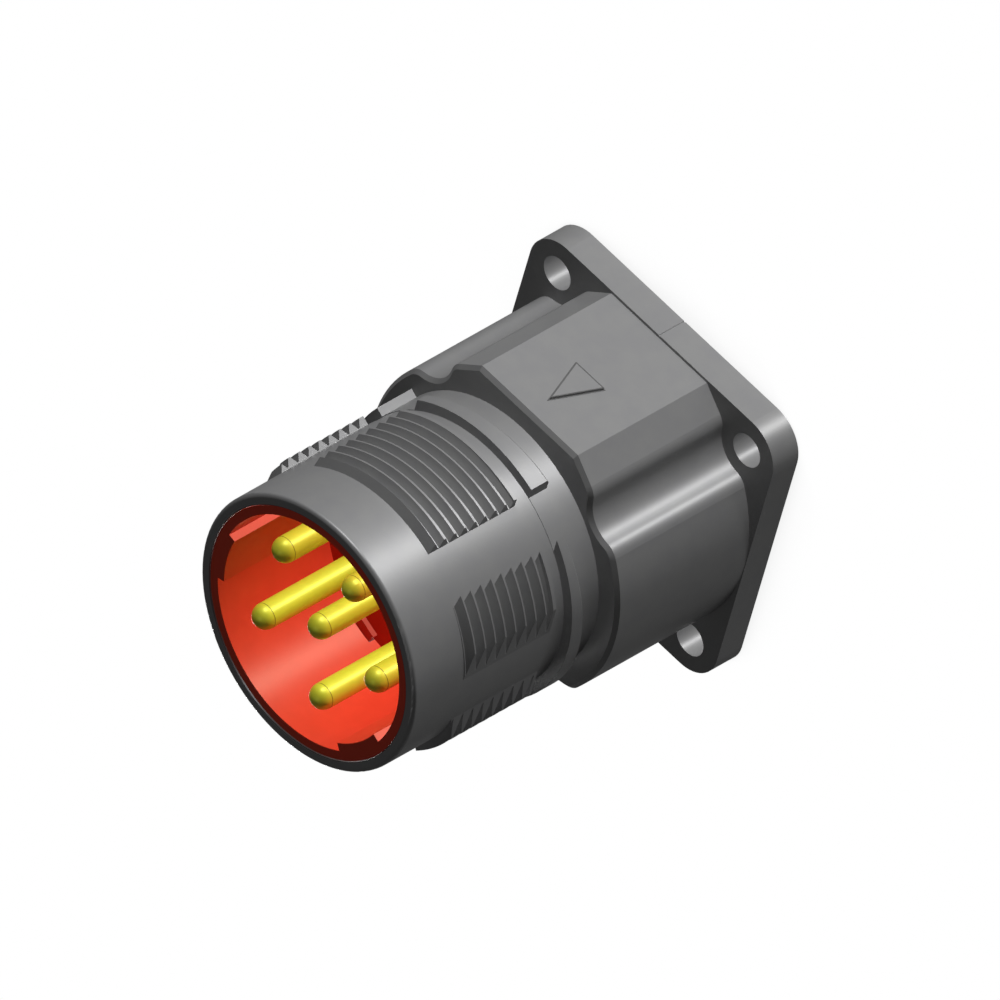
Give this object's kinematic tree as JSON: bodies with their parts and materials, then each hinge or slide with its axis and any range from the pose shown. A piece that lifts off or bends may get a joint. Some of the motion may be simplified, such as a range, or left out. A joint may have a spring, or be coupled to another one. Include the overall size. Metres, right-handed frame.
{
  "type": "circular connector receptacle",
  "caption": "Square-flange receptacle of a circular power connector, with an interrupted outer thread, a keyed insulating sleeve and domed pin contacts.",
  "frame": {"origin": "middle of the flange's rear face, on the panel plane", "axes": "+Z along the mating axis out of the panel; the body's marked flat faces -Y; +X to the right of it"},
  "size_m": [0.0254, 0.0254, 0.0338],
  "materials": {
    "shell": "satin nickel plate on a zinc casting",
    "insulator": "semi-matt moulded polyamide",
    "contact": "turned brass, gold plated",
    "spring_steel": "stamped spring steel",
    "seal": "moulded rubber"
  },
  "bodies": {
    "root": {"shell": "shell", "insulating_sleeve": "insulator", "contact_carrier": "insulator", "carrier_clamp": "insulator", "retaining_ring": "spring_steel", "insert_seal": "seal", "panel_seal": "seal", "contact_1": "contact", "contact_2": "contact", "contact_3": "contact", "contact_4": "contact", "contact_5": "contact", "contact_centre": "contact"}
  },
  "joints": []
}
